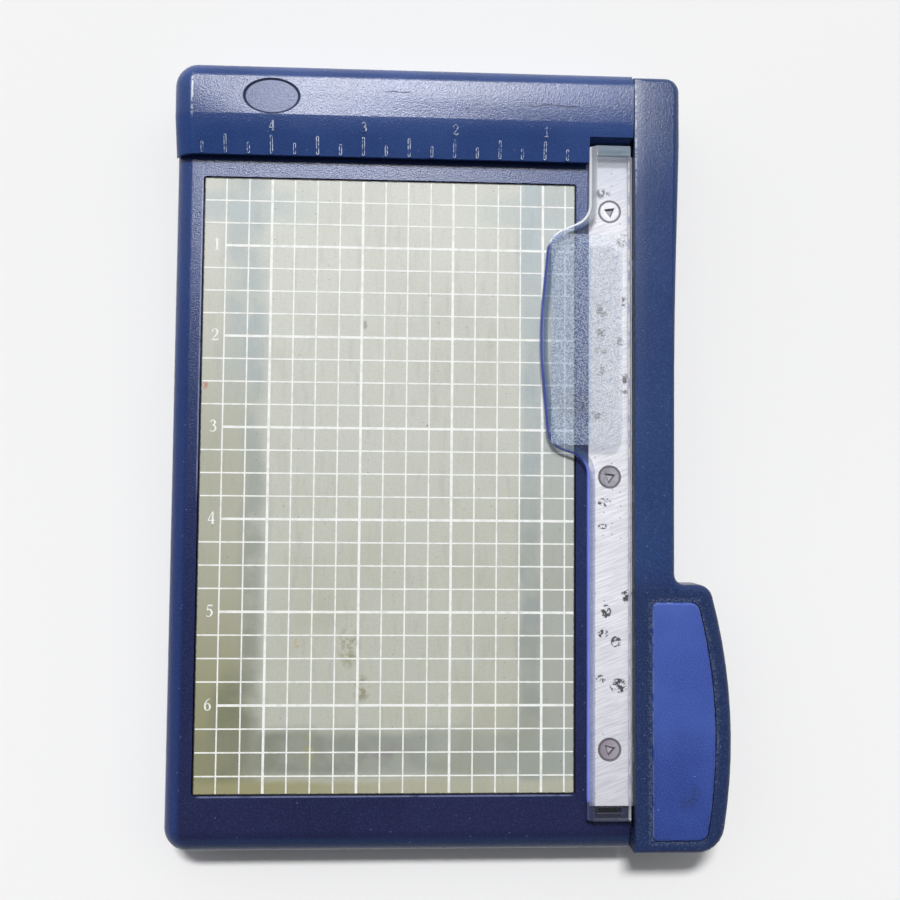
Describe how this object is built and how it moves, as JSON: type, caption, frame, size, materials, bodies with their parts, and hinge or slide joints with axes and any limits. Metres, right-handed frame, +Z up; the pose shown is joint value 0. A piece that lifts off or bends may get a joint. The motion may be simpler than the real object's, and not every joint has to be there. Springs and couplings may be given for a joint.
{
  "type": "paper trimmer",
  "caption": "Small desk paper trimmer with a moulded base, gridded cutting mat, ruler head, steel cutting edge, clear pressure guard and a lever blade with a rubber grip.",
  "frame": {"origin": "bottom centre of the closed trimmer's bounding box, on the table", "axes": "+Z up from the table, +Y to the ruler head at the rear, +X to the lever arm"},
  "size_m": [0.155, 0.2172, 0.0231],
  "materials": {
    "navy_plastic": "satin",
    "blue_rubber": "matte",
    "milky_plastic": "satin",
    "blade_steel": "brushed",
    "zinc_steel": "polished",
    "black_rubber": "matte",
    "clear_acrylic": "polished",
    "bronze": "machined",
    "white_nylon": "matte",
    "tape": "matte"
  },
  "bodies": {
    "base": {"base_shell": "navy_plastic", "bottom_cover": "navy_plastic", "bottom_cover_screws": "zinc_steel", "foot_front_left": "black_rubber", "foot_front_right": "black_rubber", "foot_rear_left": "black_rubber", "foot_rear_right": "black_rubber", "head_cover": "navy_plastic", "head_screws": "zinc_steel", "cutting_mat": "milky_plastic", "mat_tape": "tape", "fixed_blade": "blade_steel", "fixed_blade_screws": "zinc_steel", "pivot_bracket": "zinc_steel", "bracket_screws": "zinc_steel", "pivot_bush": "bronze", "stop_pin": "zinc_steel", "guard_spring_front": "zinc_steel", "guard_spring_rear": "zinc_steel"},
    "arm": {"arm_shell": "navy_plastic", "grip_insert": "blue_rubber", "grip_cover": "navy_plastic", "grip_cover_screws": "zinc_steel", "moving_blade": "blade_steel", "moving_blade_screws": "zinc_steel", "pivot_bolt": "zinc_steel", "thrust_washer": "white_nylon", "disc_springs": "zinc_steel", "pivot_washer": "zinc_steel", "pivot_nut": "zinc_steel", "pivot_cap": "navy_plastic"},
    "guard": {"pressure_guard": "clear_acrylic"}
  },
  "joints": [
    {"name": "arm_hinge", "type": "hinge", "parent": "base", "child": "arm", "pos_m": [0.0511, 0.0978, 0.014], "axis": [-1, 0, 0], "range_deg": [0, 65]},
    {"name": "guard_press", "type": "slide", "parent": "base", "child": "guard", "axis": [0, 0, -1], "range_m": [0, 0.001], "stiffness_N_per_m": 600, "springref_m": -0.003, "deforming": ["guard_spring_front", "guard_spring_rear"]}
  ]
}
